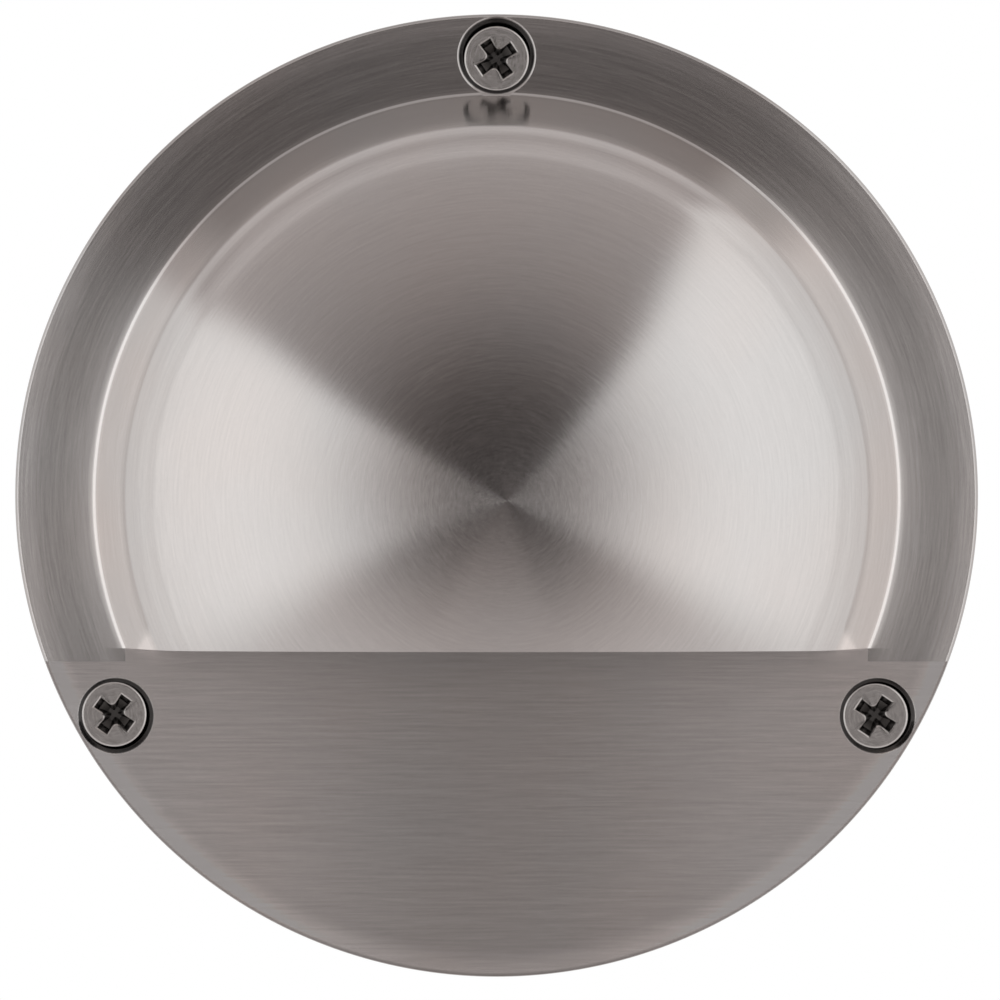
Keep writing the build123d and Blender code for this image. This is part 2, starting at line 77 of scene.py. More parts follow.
def spread(tree, value, low, high, to_low, to_high, kind="LINEAR"):
    """A value between two levels, carried over to two others and kept between them."""
    plugs = {"n1": low, "n2": high, "n3": to_low, "n4": to_high}
    return place(tree, "MapRange", {"interpolation_type": kind}, n0=value, **plugs).outputs[0]


def effect(name, inputs, outputs):
    """A new node group with named sockets: the group, what comes in and what goes out."""
    group = bpy.data.node_groups.new(name, "ShaderNodeTree")
    for way, sockets in (("INPUT", inputs), ("OUTPUT", outputs)):
        for label, kind in sockets:
            group.interface.new_socket(label, in_out=way, socket_type="NodeSocket" + kind)
    return group, group.nodes.new("NodeGroupInput").outputs, group.nodes.new("NodeGroupOutput").inputs


def finish(name, **constants):
    """A new finish: the material, its nodes, its surface shader and the place on the piece."""
    material = bpy.data.materials.new(name)
    material.use_nodes = True
    tree = material.node_tree
    surface = tree.nodes["Principled BSDF"]
    for key, value in constants.items():
        surface.inputs[key.replace("_", " ")].default_value = value
    return material, tree, surface, place(tree, "TexCoord").outputs["Object"]


def wire(tree, surface, color, roughness, height, depth):
    """Colour and roughness into the shader, and the height through a bump of that depth in metres."""
    tree.links.new(color, surface.inputs["Base Color"])
    tree.links.new(roughness, surface.inputs["Roughness"])
    bump = place(tree, "Bump", Strength=1.0, Distance=depth, Height=height)
    tree.links.new(bump.outputs[0], surface.inputs["Normal"])


def dress(node, material):
    light_parts[node].material_slots[0].material = material


# grain: two tones in soft patches and fine grains, with a roughness and a height of their own
grain, given, made = effect(
    "grain",
    [("Position", "Vector"), ("Grains", "Float"), ("Patches", "Float"), ("Light", "Color"), ("Dark", "Color"),
     ("Smooth", "Float"), ("Rough", "Float")],
    [("Color", "Color"), ("Roughness", "Float"), ("Height", "Float")],
)
fine = noise(grain, given["Position"], given["Grains"], 3.0, 0.6)
soft = noise(grain, given["Position"], given["Patches"], 3.0)
both = number(grain, "ADD", number(grain, "MULTIPLY", fine, 0.45), number(grain, "MULTIPLY", soft, 0.55))
tone = spread(grain, both, 0.36, 0.64, 0.0, 1.0)
grain.links.new(blend(grain, tone, given["Dark"], given["Light"]), made["Color"])
grain.links.new(spread(grain, both, 0.35, 0.65, given["Smooth"], given["Rough"]), made["Roughness"])
grain.links.new(fine, made["Height"])


def grained(name, light, dark, grains, patches, smooth, rough, depth, **constants):
    """A finish that is grained all over, such as a casting or a moulding."""
    material, tree, surface, spot = finish(name, **constants)
    node = place(tree, "Group", {"node_tree": grain}, Position=spot, Grains=grains, Patches=patches,
                 Light=(*light, 1), Dark=(*dark, 1), Smooth=smooth, Rough=rough)
    wire(tree, surface, node.outputs["Color"], node.outputs["Roughness"], node.outputs["Height"], depth)
    return material


cast_aluminium = grained("cast_aluminium", (0.60, 0.61, 0.62), (0.46, 0.47, 0.48), 2600.0, 90.0, 0.42, 0.62,
                         0.00006, Metallic=1.0)
dress("lamp_housing", cast_aluminium)

# ---- Heat pad and board ----
# A soft grey pad carries the diodes' heat into the web. The round circuit board on it has an aluminium core
# and a white mask, under which its copper tracks just show.
pad_grey = grained("pad_grey", (0.35, 0.41, 0.47), (0.27, 0.32, 0.38), 3500.0, 200.0, 0.55, 0.75, 0.00003)
dress("thermal_pad", pad_grey)

board_mask, tree, surface, spot = finish("board_mask")
tracks = place(tree, "TexVoronoi", {"feature": "DISTANCE_TO_EDGE"}, Vector=spot, Scale=210.0)
track = spread(tree, tracks.outputs["Distance"], 0.05, 0.09, 1.0, 0.0)
node = place(tree, "Group", {"node_tree": grain}, Position=spot, Grains=4200.0, Patches=160.0,
             Light=(0.84, 0.85, 0.84, 1), Dark=(0.78, 0.79, 0.78, 1), Smooth=0.28, Rough=0.42)
masked = blend(tree, number(tree, "MULTIPLY", track, 0.35), node.outputs["Color"], (0.66, 0.69, 0.62, 1))
raised = number(tree, "MULTIPLY_ADD", node.outputs["Height"], 0.15, track)
wire(tree, surface, masked, node.outputs["Roughness"], raised, 0.00003)
dress("led_board", board_mask)

# ---- Diodes ----
# Nine diodes soldered to the board, one in the middle and eight round it. Each is a white moulded tray whose
# well is filled with a clear drop over yellow phosphor.
mm = 0.001
chip_size = (3.49, 0.8, 2.81)
chip_edge, chip_rim, chip_deep = 0.1, 0.3, 0.42
chip_front = 10.1
chip_ring, ring_chips, first_chip = 10.8, 8, 112.5


def select(piece, kind, test):
    """Selects, in edit mode, the vertices, edges or faces whose middle and normal pass the test."""
    bpy.ops.object.mode_set(mode="EDIT")
    bpy.ops.mesh.select_mode(type=kind)
    bpy.ops.mesh.select_all(action="DESELECT")
    bpy.ops.object.mode_set(mode="OBJECT")
    mesh = piece.data
    if kind == "VERT":
        for vertex in mesh.vertices:
            vertex.select = bool(test(vertex.co / mm, vertex.normal))
    elif kind == "EDGE":
        for edge in mesh.edges:
            start, end = (mesh.vertices[i].co / mm for i in edge.vertices)
            edge.select = bool(test(start, end))
    else:
        for face in mesh.polygons:
            face.select = bool(test(face.center / mm, face.normal))
    bpy.ops.object.mode_set(mode="EDIT")


def smooth(piece, angle=30):
    bpy.ops.object.select_all(action="DESELECT")
    piece.select_set(True)
    bpy.context.view_layer.objects.active = piece
    bpy.ops.object.shade_smooth_by_angle(angle=math.radians(angle))


def turned_piece(name, outline, sides, start=0.0):
    """A piece turned about Y. Its outline is drawn point by point, as (radius, y) in mm, and spun round."""
    bpy.ops.object.select_all(action="DESELECT")
    bpy.ops.mesh.primitive_plane_add(size=2 * mm)
    piece = bpy.context.object
    piece.name = name
    bpy.ops.object.mode_set(mode="EDIT")
    bpy.ops.mesh.select_mode(type="VERT")
    bpy.ops.mesh.select_all(action="SELECT")
    bpy.ops.mesh.merge(type="CENTER")
    here = Vector((0, 0, 0))
    turn = Matrix.Rotation(math.radians(start), 3, "Y")
    for i, (radius, y) in enumerate(outline):
        step = turn @ Vector((radius * mm, y * mm, 0)) - here
        here += step
        if i:
            bpy.ops.mesh.extrude_vertices_move(TRANSFORM_OT_translate={"value": step})
        else:
            bpy.ops.transform.translate(value=step)
    bpy.ops.mesh.select_all(action="SELECT")
    bpy.ops.mesh.spin(steps=sides, angle=2 * math.pi, center=(0, 0, 0), axis=(0, 1, 0))
    bpy.ops.mesh.select_all(action="SELECT")
    bpy.ops.mesh.remove_doubles(threshold=0.001 * mm)
    bpy.ops.mesh.normals_make_consistent(inside=False)
    bpy.ops.object.mode_set(mode="OBJECT")
    return piece


def set_down(piece, name, x=0.0, y=0.0, z=0.0, turn=0.0, back=False, spin=0.0):
    """A copy of a piece, put down in mm: spun on its axis, turned to face back, moved, turned about Y."""
    copy = piece.copy()
    copy.data = piece.data.copy()
    copy.name = name
    bpy.context.scene.collection.objects.link(copy)
    own = copy.data.attributes.new("own_place", "FLOAT_VECTOR", "POINT")
    for here, vertex in zip(own.data, copy.data.vertices):
        here.vector = vertex.co
    around = Matrix.Rotation(math.radians(-turn), 4, "Y")
    about = Matrix.Rotation(math.pi, 4, "Z") if back else Matrix.Identity(4)
    own_spin = Matrix.Rotation(math.radians(-spin), 4, "Y")
    copy.data.transform(around @ Matrix.Translation((x * mm, y * mm, z * mm)) @ about @ own_spin)
    return copy


def belongs(piece, material, node):
    """Gives a new piece its finish, its body and the node that it stands for."""
    piece.data.materials.clear()
    piece.data.materials.append(material)
    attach(piece, "root")
    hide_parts(node)


tray_white = grained("tray_white", (0.88, 0.88, 0.86), (0.82, 0.82, 0.80), 5200.0, 700.0, 0.30, 0.45, 0.00001)
phosphor = grained("phosphor", (0.92, 0.76, 0.20), (0.84, 0.64, 0.12), 6500.0, 900.0, 0.10, 0.20, 0.00001,
                   Coat_Weight=0.6, Coat_Roughness=0.06)
bpy.ops.object.select_all(action="DESELECT")
bpy.ops.mesh.primitive_cube_add(size=mm)
tray = bpy.context.object
bpy.ops.object.mode_set(mode="EDIT")
bpy.ops.mesh.select_all(action="SELECT")
bpy.ops.transform.resize(value=chip_size)
bpy.ops.transform.translate(value=(0, chip_size[1] / 2 * mm, 0))
bpy.ops.mesh.bevel(offset=chip_edge * mm, segments=2)
select(tray, "FACE", lambda middle, normal: normal.y < -0.99)
bpy.ops.mesh.inset(thickness=chip_rim * mm)
bpy.ops.mesh.extrude_region_move(TRANSFORM_OT_translate={"value": (0, chip_deep * mm, 0)})
bpy.ops.transform.resize(value=(0.86, 1, 0.84))
bpy.ops.object.mode_set(mode="OBJECT")
smooth(tray)
drop_outline = [(0, 0.06), (0.5, 0.075), (0.85, 0.12), (1.1, 0.20), (1.2, 0.30), (1.15, 0.40), (0, 0.40)]
drop = turned_piece("drop", drop_outline, 32)
bpy.ops.object.mode_set(mode="EDIT")
bpy.ops.mesh.select_all(action="SELECT")
bpy.ops.transform.resize(value=(1.06, 1, 0.78), center_override=(0, 0, 0))
bpy.ops.object.mode_set(mode="OBJECT")
smooth(drop)
chip_places = [(chip_ring, first_chip + 360 / ring_chips * i) for i in range(ring_chips)] + [(0.0, 0.0)]
for i, (out, turn) in enumerate(chip_places):
    for piece, name, material in ((tray, "diode_tray", tray_white), (drop, "diode_drop", phosphor)):
        copy = set_down(piece, f"{name}_{i + 1}", x=out, y=chip_front, turn=turn)
        belongs(copy, material, "led_chips")
bpy.data.objects.remove(tray)
bpy.data.objects.remove(drop)

# ---- Reflector ----
# A dish of white plastic, injection moulded with a satin face, that stands on the board and throws all the
# diodes' light at the glass.
white_plastic = grained("white_plastic", (0.87, 0.87, 0.85), (0.82, 0.82, 0.80), 4200.0, 120.0, 0.26, 0.40,
                        0.00001)
dress("reflector", white_plastic)

# ---- Board screws ----
# Three pan-head screws hold reflector, board and pad to the web. They are cold-headed in bright steel, with a
# cross recess punched into the head and a rolled thread.
board_screw_ring, reflector_front = 20, 9.7

# tool lines: broad and fine streaks from a pattern vector that is stretched along the tool's way
tool_lines, given, made = effect(
    "tool_lines",
    [("Pattern", "Vector")],
    [("Broad", "Float"), ("Fine", "Float")],
)
tool_lines.links.new(noise(tool_lines, given["Pattern"], 1.0), made["Broad"])
tool_lines.links.new(noise(tool_lines, given["Pattern"], 3.1, 2.0, 0.65), made["Fine"])

# round place: the pattern vector of lines that run round Y, and the distance from that axis
round_place, given, made = effect(
    "round_place",
    [("Position", "Vector"), ("Turns", "Float"), ("Lines", "Float")],
    [("Pattern", "Vector"), ("Out", "Float")],
)
flat = vector(round_place, "MULTIPLY", given["Position"], (1, 0, 1))
out = place(round_place, "VectorMath", {"operation": "LENGTH"}, n0=flat).outputs["Value"]
axes = place(round_place, "SeparateXYZ", n0=vector(round_place, "NORMALIZE", flat))
depth_y = place(round_place, "SeparateXYZ", n0=given["Position"]).outputs[1]
along_y = number(round_place, "MULTIPLY_ADD", depth_y, 0.7, out)
pattern = place(round_place, "CombineXYZ", X=number(round_place, "MULTIPLY", axes.outputs[0], given["Turns"]),
                Y=number(round_place, "MULTIPLY", along_y, given["Lines"]),
                Z=number(round_place, "MULTIPLY", axes.outputs[2], given["Turns"])).outputs[0]
round_place.links.new(pattern, made["Pattern"])
round_place.links.new(out, made["Out"])


def turned_metal(name, light, dark, own, turns, lines, smooth_low, rough, depth):
    """A finish for turned metal, with the tool's lines round the piece's own axis or round the light's."""
    material, tree, surface, spot = finish(name, Metallic=1.0)
    if own:
        spot = place(tree, "Attribute", {"attribute_name": "own_place"}).outputs["Vector"]
    where = place(tree, "Group", {"node_tree": round_place}, Position=spot, Turns=turns, Lines=lines)
    streaks = place(tree, "Group", {"node_tree": tool_lines}, Pattern=where.outputs["Pattern"])
    both = number(tree, "ADD", streaks.outputs["Broad"], streaks.outputs["Fine"])
    color = blend(tree, spread(tree, both, 0.75, 1.25, 0.0, 1.0), (*dark, 1), (*light, 1))
    if own:
        # painted shade: the metal down in a marked recess is darkened as if shaded
        painted_shade = place(tree, "Attribute", {"attribute_name": "painted_shade"}).outputs["Fac"]
        color = blend(tree, painted_shade, color, (*[0.22 * tone for tone in dark], 1))
    wire(tree, surface, color, spread(tree, both, 0.75, 1.25, smooth_low, rough), both, depth)
    return material


def mark_painted_shade(piece, test):
    """Marks the vertices, in mm, that lie down in a recess or a sink, where the finish paints shade."""
    painted_shade = piece.data.attributes.new("painted_shade", "FLOAT", "POINT")
    for here, vertex in zip(painted_shade.data, piece.data.vertices):
        here.value = 1.0 if test(vertex.co / mm) else 0.0


screw_steel = turned_metal("screw_steel", (0.60, 0.575, 0.56), (0.54, 0.515, 0.50), True, 3.0, 5000.0,
                           0.22, 0.26, 0.000001)


def cut(piece, tool, how="DIFFERENCE"):
    """Cuts a piece with a tool, joins them or keeps what they share, and takes the tool away."""
    boolean = piece.modifiers.new("cut", "BOOLEAN")
    boolean.operation = how
    boolean.solver = "EXACT"
    boolean.object = tool
    bpy.ops.object.select_all(action="DESELECT")
    piece.select_set(True)
    bpy.context.view_layer.objects.active = piece
    bpy.ops.object.modifier_apply(modifier="cut")
    bpy.data.objects.remove(tool)


def join(pieces):
    bpy.ops.object.select_all(action="DESELECT")
    for piece in pieces:
        piece.select_set(True)
    bpy.context.view_layer.objects.active = pieces[0]
    bpy.ops.object.join()
    return pieces[0]


def recess_punch(top, reach, arm, depth):
    """The punch for a cross recess, in mm: the head's top, from the middle to an arm's end, an arm's width,
    and the depth."""
    over = 0.4
    bpy.ops.object.select_all(action="DESELECT")
    bpy.ops.mesh.primitive_grid_add(x_subdivisions=3, y_subdivisions=3, size=2 * reach * mm,
                                    rotation=(math.pi / 2, 0, 0), location=(0, (top - over) * mm, 0))
    punch = bpy.context.object
    bpy.ops.object.transform_apply(location=True, rotation=True)
    select(punch, "FACE", lambda middle, normal: min(abs(middle.x), abs(middle.z)) > reach / 3)
    bpy.ops.mesh.delete(type="FACE")
    for axis in (0, 2):
        select(punch, "VERT", lambda at, normal: abs(at[axis]) < reach / 2)
        size = [1.0, 1.0, 1.0]
        size[axis] = 1.5 * arm / reach
        bpy.ops.transform.resize(value=size, center_override=(0, 0, 0))
    bpy.ops.mesh.select_mode(type="FACE")
    bpy.ops.mesh.select_all(action="SELECT")
    bpy.ops.mesh.dissolve_faces()
    # the corners between the arms are rounded, and the arms flare a little at their ends
    select(punch, "VERT", lambda at, normal: max(abs(at.x), abs(at.z)) < reach / 2)
    bpy.ops.mesh.bevel(offset=0.42 * arm * mm, segments=5, affect="VERTICES")
    for axis in (0, 2):
        select(punch, "VERT", lambda at, normal: abs(at[2 - axis]) > 0.95 * reach)
        size = [1.0, 1.0, 1.0]
        size[axis] = 1.1
        bpy.ops.transform.resize(value=size, center_override=(0, 0, 0))
    bpy.ops.mesh.select_mode(type="FACE")
    bpy.ops.mesh.select_all(action="SELECT")
    level = top - over
    for down, size in ((over, 1.0), (0.7 * depth, 0.74), (0.3 * depth, 0.45)):
        level += down
        bpy.ops.mesh.extrude_region_move(TRANSFORM_OT_translate={"value": (0, down * mm, 0)})
        bpy.ops.transform.resize(value=(size, 1, size), center_override=(0, level * mm, 0))
    bpy.ops.mesh.select_all(action="SELECT")
    bpy.ops.mesh.normals_make_consistent(inside=False)
    bpy.ops.object.mode_set(mode="OBJECT")
    return punch


def threaded_rod(core, crest, pitch, start, taper, end, tip):
    """A thread in mm: one turn's outline is screwed along, capped at both ends, and cut to its taper."""
    bpy.ops.object.select_all(action="DESELECT")
    bpy.ops.mesh.primitive_plane_add(size=2 * mm)
    rod = bpy.context.object
    bpy.ops.object.mode_set(mode="EDIT")
    bpy.ops.mesh.select_mode(type="VERT")
    bpy.ops.mesh.select_all(action="SELECT")
    bpy.ops.mesh.merge(type="CENTER")
    here = Vector((0, 0, 0))
    turn = [(core, 0.0), (core, 0.3), (crest, 0.6), (crest, 0.7), (core, 1.0)]
    for i, (radius, share) in enumerate(turn):
        step = Vector((radius * mm, (start + (share - 1.5) * pitch) * mm, 0)) - here
        here += step
        if i:
            bpy.ops.mesh.extrude_vertices_move(TRANSFORM_OT_translate={"value": step})
        else:
            bpy.ops.transform.translate(value=step)
    bpy.ops.object.mode_set(mode="OBJECT")
    helix = rod.modifiers.new("helix", "SCREW")
    helix.axis = "Y"
    helix.screw_offset = pitch * mm
    helix.iterations = math.ceil((end - start) / pitch) + 3
    helix.steps = helix.render_steps = 24
    bpy.ops.object.modifier_apply(modifier="helix")
    bpy.ops.object.mode_set(mode="EDIT")
    bpy.ops.mesh.select_all(action="SELECT")
    bpy.ops.mesh.remove_doubles(threshold=0.002 * mm)
    for y, way in ((start + 0.0137, -1), (end + 0.3137, 1)):
        bpy.ops.mesh.select_all(action="SELECT")
        bpy.ops.mesh.bisect(plane_co=(0, y * mm, 0), plane_no=(0, way, 0), use_fill=True, clear_outer=True,
                            threshold=0.0001 * mm)
    bpy.ops.mesh.select_all(action="SELECT")
    bpy.ops.mesh.normals_make_consistent(inside=False)
    bpy.ops.object.mode_set(mode="OBJECT")
    hull = [(0, start - 1), (crest + 0.02, start - 1), (crest + 0.02, taper), (tip, end), (0, end)]
    cut(rod, turned_piece("hull", hull, 48, 1.3), "INTERSECT")
    return rod


def cross_screw(outline, top, reach, arm, depth, thread):
    """A screw along Y: head and neck turned from their outline, the recess punched, the thread added."""
    screw = turned_piece("screw", outline, 64, 0.4)
    cut(screw, recess_punch(top, reach, arm, depth))
    select(screw, "EDGE", lambda a, b: abs(a.y - top) < 0.001 and abs(b.y - top) < 0.001 and
           max(math.hypot(a.x, a.z), math.hypot(b.x, b.z)) < reach * 1.08)
    bpy.ops.mesh.bevel(offset=0.05 * reach * mm, segments=1)
    bpy.ops.object.mode_set(mode="OBJECT")
    screw = join([screw, threaded_rod(*thread)])
    # the inside of the cross recess is marked for painted shade
    mark_painted_shade(screw, lambda at: math.hypot(at.x, at.z) < reach * 1.1 and
              top + 0.12 < at.y < top + depth + 0.05)
    smooth(screw, 25)
    return screw


def pan_outline(radius, neck):
    """Pan head that stands on y 0, with its neck down to y neck."""
    head, rise = 1.85 * radius, 1.2 * radius
    shares = (0, 0.2, 0.4, 0.6, 0.75, 0.87, 0.95)
    crown = [(head * share, -rise * (0.5 + 0.5 * (1 - share ** 2) ** 0.55)) for share in shares]
    edge = [(head, -0.5 * rise), (head, -0.08 * rise), (head * 0.97, 0), (0.82 * radius, 0)]
    return crown + edge + [(0.82 * radius, neck), (0, neck)]


def thread_3(start, end):
    """The thread of a 3 mm screw, as threaded_rod takes it, with a short taper at its end."""
    return (1.20, 1.48, 0.5, start, end - 0.4, end, 1.0)


pan_3 = (pan_outline(1.5, 0.6), -1.8, 1.45, 0.78, 1.5)
board_screw = cross_screw(*pan_3, thread_3(0.45, 6.0))
for i, (turn, spin) in enumerate(((150, 12), (270, 40), (30, 71))):
    screw = set_down(board_screw, f"board_screw_{i + 1}", x=board_screw_ring, y=reflector_front, turn=turn,
                     spin=spin)
    belongs(screw, screw_steel, "board_screws")
bpy.data.objects.remove(board_screw)

# ---- Board connector ----
# A socket of ivory polyamide, injection moulded with a fine matt grain and soldered to the board. The two leads
# push into it.
ivory_plastic = grained("ivory_plastic", (0.80, 0.77, 0.68), (0.74, 0.70, 0.60), 5200.0, 260.0, 0.42, 0.58,
                        0.00002)
dress("board_connector", ivory_plastic)

# ---- Grommet and leads ----
# Two stranded leads with extruded insulation come through a rubber grommet in the web, from the driver to the
# plug on the board.
black_rubber = grained("black_rubber", (0.045, 0.045, 0.046), (0.025, 0.025, 0.026), 3600.0, 300.0,
                       0.50, 0.72, 0.00003)
dress("web_grommet", black_rubber)
red_insulation = grained("red_insulation", (0.58, 0.035, 0.022), (0.46, 0.022, 0.015), 3000.0, 350.0,
                         0.32, 0.48, 0.00001)
dress("lead_red", red_insulation)
black_insulation = grained("black_insulation", (0.040, 0.040, 0.041), (0.022, 0.022, 0.023), 3000.0, 350.0,
                           0.32, 0.48, 0.00001)
dress("lead_black", black_insulation)

# ---- Driver ----
# The low-voltage driver is potted in a tub of black plastic with a spark-eroded texture. The resin is poured
# in, so its top is glossy and slightly wavy. Two pan-head screws hold the tub's ears to the web.
driver_screw_x, web_back = 22.4, 19
case_plastic = grained("case_plastic", (0.062, 0.062, 0.066), (0.036, 0.036, 0.040), 3000.0, 180.0,
                       0.48, 0.68, 0.00004)
dress("driver_case", case_plastic)
potting_resin = grained("potting_resin", (0.040, 0.040, 0.044), (0.022, 0.022, 0.026), 260.0, 120.0,
                        0.06, 0.14, 0.00025, Coat_Weight=0.5, Coat_Roughness=0.04)
dress("driver_potting", potting_resin)
driver_screw = cross_screw(*pan_3, thread_3(0.45, 4.7))
for i, (x, spin) in enumerate(((-driver_screw_x, 25), (driver_screw_x, 66))):
    screw = set_down(driver_screw, f"driver_screw_{i + 1}", x=x, y=web_back, back=True, spin=spin)
    belongs(screw, screw_steel, "driver_screws")
bpy.data.objects.remove(driver_screw)

# ---- Terminal block ----
# Two poles in a grey moulded polyamide body that stands on the driver. A slotted brass screw, turned and
# plated, clamps a supply wire in each well.
pole_x, pole_z, well_floor = 4, -8, 33.5
slot_w, slot_floor = 0.6, 1.1
terminal_plastic = grained("terminal_plastic", (0.66, 0.67, 0.66), (0.57, 0.58, 0.57), 4600.0, 240.0,
                           0.40, 0.55, 0.00002)
dress("terminal_block", terminal_plastic)
brass = turned_metal("brass", (0.80, 0.62, 0.32), (0.68, 0.50, 0.22), True, 1.3, 9000.0, 0.18, 0.30, 0.000004)


def brick(low, high):
    """A block between two corners in mm, as a tool for cutting."""
    bpy.ops.object.select_all(action="DESELECT")
    bpy.ops.mesh.primitive_cube_add(size=mm)
    tool = bpy.context.object
    bpy.ops.object.mode_set(mode="EDIT")
    bpy.ops.mesh.select_all(action="SELECT")
    bpy.ops.transform.resize(value=[b - a for a, b in zip(low, high)])
    bpy.ops.transform.translate(value=[(a + b) / 2 * mm for a, b in zip(low, high)])
    bpy.ops.object.mode_set(mode="OBJECT")
    return tool


slotted_outline = [(0, 0), (0.9, 0), (0.9, 0.35), (1.75, 0.35), (1.9, 0.5), (1.9, 1.7), (1.84, 1.86),
                   (1.7, 1.96), (1.55, 2.0), (0, 2.0)]
slotted_screw = turned_piece("slotted", slotted_outline, 48, 0.4)
cut(slotted_screw, brick((-2.5, slot_floor, -slot_w / 2), (2.5, 2.5, slot_w / 2)))
smooth(slotted_screw)
for i, (x, spin) in enumerate(((-pole_x, 18), (pole_x, 64))):
    screw = set_down(slotted_screw, f"terminal_screw_{i + 1}", x=x, y=well_floor, z=pole_z, spin=spin)
    belongs(screw, brass, "terminal_screws")
bpy.data.objects.remove(slotted_screw)

# ---- Rear cover and its seal ----
# The round cover of the rear chamber, turned from aluminium, so that fine rings from the tool show on it.
# A flat seal of red-brown silicone lies under it, and four pan-head screws hold it.
cover_screw_ring, cover_back = 30.65, 50
turned_aluminium = turned_metal("turned_aluminium", (0.72, 0.73, 0.74), (0.58, 0.59, 0.60), False, 2.0,
                                6500.0, 0.22, 0.38, 0.000006)
dress("rear_cover", turned_aluminium)
silicone = grained("silicone", (0.58, 0.13, 0.085), (0.48, 0.095, 0.06), 3200.0, 240.0, 0.42, 0.60, 0.00002)
dress("cover_gasket", silicone)
cover_screw = cross_screw(*pan_3, thread_3(0.45, 9.0))
for i, spin in enumerate((8, 52, 33, 77)):
    screw = set_down(cover_screw, f"cover_screw_{i + 1}", x=cover_screw_ring, y=cover_back, turn=45 + 90 * i,
                     back=True, spin=spin)
    belongs(screw, screw_steel, "cover_screws")
bpy.data.objects.remove(cover_screw)

# ---- Cable gland ----
# A black nylon gland for the supply cable: its body screws through the cover into a locknut, a rubber washer
# seals it, and the cap presses the claws and the seal onto the cable.
nylon_black = grained("nylon_black", (0.048, 0.048, 0.051), (0.028, 0.028, 0.031), 3400.0, 200.0, 0.40, 0.58,
                      0.00003)
for node in ("gland_body", "gland_locknut", "gland_cap"):
    dress(node, nylon_black)
dress("gland_washer", black_rubber)
dress("gland_seal", black_rubber)

# ---- Glass, its gasket, the clamp ring and the housing's seal ----
# A disc of toughened glass, frosted on the inside. A milky silicone ring wraps its edge, and a ring turned
# from aluminium clamps it to the housing. A silicone seal keeps rain out between housing and face.
clamp_screw_ring, clamp_front = 36, -5.8
frosted_glass, tree, surface, spot = finish("frosted_glass", Transmission_Weight=0.85, IOR=1.5)
node = place(tree, "Group", {"node_tree": grain}, Position=spot, Grains=5200.0, Patches=140.0,
             Light=(0.95, 0.97, 0.96, 1), Dark=(0.90, 0.93, 0.92, 1), Smooth=0.48, Rough=0.62)
wire(tree, surface, node.outputs["Color"], node.outputs["Roughness"], node.outputs["Height"], 0.00002)
dress("glass_lens", frosted_glass)
clear_silicone = grained("clear_silicone", (0.74, 0.74, 0.72), (0.66, 0.66, 0.64), 3000.0, 200.0, 0.38, 0.55,
                         0.00002, Subsurface_Weight=0.2)
dress("lens_gasket", clear_silicone)
dress("clamp_ring", turned_aluminium)
dress("housing_seal", silicone)


def sunk_outline(radius, head, neck):
    """Countersunk head with its top at y 0, and its neck down to y neck."""
    edge = [(0, 0), (head - 0.22, 0), (head - 0.13, 0.02), (head - 0.1, 0.07)]
    cone_part = [(radius, head - radius - 0.03), (0.82 * radius, head - 0.82 * radius)]
    return edge + cone_part + [(0.82 * radius, neck), (0, neck)]


thread_2_5 = (1.0, 1.23, 0.45, 1.6, 5.6, 6.0, 0.8)
clamp_screw = cross_screw(sunk_outline(1.25, 2.25, 1.9), 0.0, 1.25, 0.66, 1.2, thread_2_5)
for i, spin in enumerate((5, 38, 61, 20, 83, 47)):
    screw = set_down(clamp_screw, f"clamp_screw_{i + 1}", x=clamp_screw_ring, y=clamp_front, turn=60 * i,
                     spin=spin)
    belongs(screw, screw_steel, "clamp_screws")
bpy.data.objects.remove(clamp_screw)

# ---- Eyelid face ----
# Ring, hood and lower plate are one machined casting in stainless steel. Hood and ring are brushed round, and
# the plate below the lip is brushed straight across after a last light cut.
front, rim_back, rim_out, rim_in, rim_round = -9.0, -1.5, 55.0, 52.0, 0.35
plate_back, wall = -6.0, 2.4
hood_out, hood_high, shoulder = 45.9, 13.0, 5.4
side, crown = math.radians(61.0), math.radians(11.5)
lip = -17.4
flat_top, flat_y, flat_half = -18.9, -8.88, 42.4
wall_screw_ring, ear_ring = 50.25, 48.4
crown_rise = math.tan(crown / 2)
shoulder_wide = shoulder * (math.sin(side) - math.sin(crown))
shoulder_high = shoulder * (math.cos(crown) - math.cos(side))
cone = hood_high - shoulder_high - (hood_out - shoulder_wide) * crown_rise
cone /= math.sin(side) - math.cos(side) * crown_rise
crown_radius = (hood_out - cone * math.cos(side) - shoulder_wide) / math.sin(crown)
shoulder_x = hood_out - cone * math.cos(side) - shoulder * math.sin(side)
shoulder_y = front - cone * math.sin(side) + shoulder * math.cos(side)


def bend(x, y, radius, start, end, steps):
    """Points of a round in an outline, from one angle to another, measured from the front."""
    turns = [start + (end - start) * i / steps for i in range(steps + 1)]
    return [(x + radius * math.sin(a), y - radius * math.cos(a)) for a in turns]


def dome(inset):
    """Outline of the hood, from its top to the end of its shoulder."""
    crown_part = bend(0, front - hood_high + crown_radius, crown_radius - inset, 0, crown, 26)
    return crown_part + bend(shoulder_x, shoulder_y, shoulder - inset, crown, side, 16)[1:]


# the wall's foot is rounded, and the ring rises to it by a few degrees
rise_slope, rise_end, foot_round = math.radians(2.2), 50.0, 0.5
rise = 0.5 * math.tan(rise_slope) * (rise_end - hood_out)
foot_x = hood_out - rise / math.tan(side) + foot_round * math.tan(side / 2)
foot = [(foot_x - foot_round * math.sin(a), front - rise - foot_round * (1 - math.cos(a))) for a in
        [side + (rise_slope - side) * i / 6 for i in range(7)]]
skin = dome(0.0)
